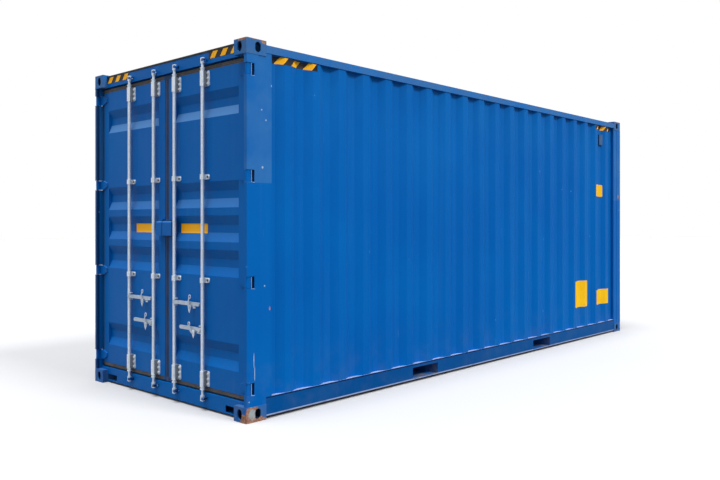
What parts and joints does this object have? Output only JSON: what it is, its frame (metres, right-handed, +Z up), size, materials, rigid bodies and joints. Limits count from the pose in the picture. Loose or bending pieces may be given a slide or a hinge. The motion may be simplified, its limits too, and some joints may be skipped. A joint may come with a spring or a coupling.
{
  "type": "shipping container",
  "caption": "Blue corrugated steel shipping container with hinged end doors, upright lock bars, corner castings and fork pockets for carrying freight.",
  "frame": {"origin": "middle of the footprint, on the plane that the bottom corner castings stand on", "axes": "+X along the length from the door end to the closed end, +Y to the left side as seen when facing the doors, +Z up"},
  "size_m": [6.058, 2.438, 2.896],
  "materials": {
    "blue_paint": "satin",
    "galvanised_steel": "satin",
    "seal_rubber": "matte",
    "plywood": "matte"
  },
  "bodies": {
    "shell": {"corner_castings": "blue_paint", "door_posts": "blue_paint", "hinge_pins": "blue_paint", "front_posts": "blue_paint", "door_header": "blue_paint", "door_sill": "blue_paint", "cam_keepers": "blue_paint", "front_rails": "blue_paint", "top_side_rails": "blue_paint", "bottom_side_rails": "blue_paint", "cross_members": "blue_paint", "forklift_pockets": "blue_paint", "side_walls": "blue_paint", "front_wall": "blue_paint", "roof_panel": "blue_paint", "ventilators": "blue_paint", "floor_panels": "plywood"},
    "left_door": {"left_door_frame": "blue_paint", "left_door_panel": "blue_paint", "left_door_gasket": "seal_rubber", "left_hinge_blades": "blue_paint", "left_bar_brackets": "galvanised_steel", "left_handle_catches": "galvanised_steel", "left_lock_box": "blue_paint"},
    "right_door": {"right_door_frame": "blue_paint", "right_door_panel": "blue_paint", "right_door_gasket": "seal_rubber", "right_hinge_blades": "blue_paint", "right_bar_brackets": "galvanised_steel", "right_handle_catches": "galvanised_steel", "right_lock_box": "blue_paint"},
    "lock_bar_1": {"lock_bar_1": "galvanised_steel"},
    "handle_1": {"handle_1": "galvanised_steel"},
    "latch_1": {"latch_1": "galvanised_steel"},
    "lock_bar_2": {"lock_bar_2": "galvanised_steel"},
    "handle_2": {"handle_2": "galvanised_steel"},
    "latch_2": {"latch_2": "galvanised_steel"},
    "lock_bar_3": {"lock_bar_3": "galvanised_steel"},
    "handle_3": {"handle_3": "galvanised_steel"},
    "latch_3": {"latch_3": "galvanised_steel"},
    "lock_bar_4": {"lock_bar_4": "galvanised_steel"},
    "handle_4": {"handle_4": "galvanised_steel"},
    "latch_4": {"latch_4": "galvanised_steel"}
  },
  "joints": [
    {"name": "left_door_swing", "type": "hinge", "parent": "shell", "child": "left_door", "pos_m": [-3.009, 1.199, 1.45], "axis": [0, 0, -1], "range_deg": [0, 265]},
    {"name": "right_door_swing", "type": "hinge", "parent": "shell", "child": "right_door", "pos_m": [-3.009, -1.199, 1.45], "axis": [0, 0, 1], "range_deg": [0, 265]},
    {"name": "lock_bar_1_turn", "type": "hinge", "parent": "left_door", "child": "lock_bar_1", "pos_m": [-3.007, 0.594, 1.45], "axis": [0, 0, 1], "range_deg": [-90, 0]},
    {"name": "handle_1_lift", "type": "hinge", "parent": "lock_bar_1", "child": "handle_1", "pos_m": [-3.007, 0.57, 0.8455], "axis": [1, 0, 0], "range_deg": [-18, 0]},
    {"name": "latch_1_turn", "type": "hinge", "parent": "left_door", "child": "latch_1", "pos_m": [-3.026, 0.338, 0.8115], "axis": [-1, 0, 0], "range_deg": [-90, 0]},
    {"name": "lock_bar_2_turn", "type": "hinge", "parent": "left_door", "child": "lock_bar_2", "pos_m": [-3.007, 0.169, 1.45], "axis": [0, 0, -1], "range_deg": [-90, 0]},
    {"name": "handle_2_lift", "type": "hinge", "parent": "lock_bar_2", "child": "handle_2", "pos_m": [-3.007, 0.193, 0.6455], "axis": [-1, 0, 0], "range_deg": [-18, 0]},
    {"name": "latch_2_turn", "type": "hinge", "parent": "left_door", "child": "latch_2", "pos_m": [-3.026, 0.279, 0.6115], "axis": [1, 0, 0], "range_deg": [-90, 0]},
    {"name": "lock_bar_3_turn", "type": "hinge", "parent": "right_door", "child": "lock_bar_3", "pos_m": [-3.007, -0.169, 1.45], "axis": [0, 0, 1], "range_deg": [-90, 0]},
    {"name": "handle_3_lift", "type": "hinge", "parent": "lock_bar_3", "child": "handle_3", "pos_m": [-3.007, -0.193, 0.8455], "axis": [1, 0, 0], "range_deg": [-18, 0]},
    {"name": "latch_3_turn", "type": "hinge", "parent": "right_door", "child": "latch_3", "pos_m": [-3.026, -0.425, 0.8115], "axis": [-1, 0, 0], "range_deg": [-90, 0]},
    {"name": "lock_bar_4_turn", "type": "hinge", "parent": "right_door", "child": "lock_bar_4", "pos_m": [-3.007, -0.594, 1.45], "axis": [0, 0, -1], "range_deg": [-90, 0]},
    {"name": "handle_4_lift", "type": "hinge", "parent": "lock_bar_4", "child": "handle_4", "pos_m": [-3.007, -0.57, 0.6455], "axis": [-1, 0, 0], "range_deg": [-18, 0]},
    {"name": "latch_4_turn", "type": "hinge", "parent": "right_door", "child": "latch_4", "pos_m": [-3.026, -0.484, 0.6115], "axis": [1, 0, 0], "range_deg": [-90, 0]}
  ]
}
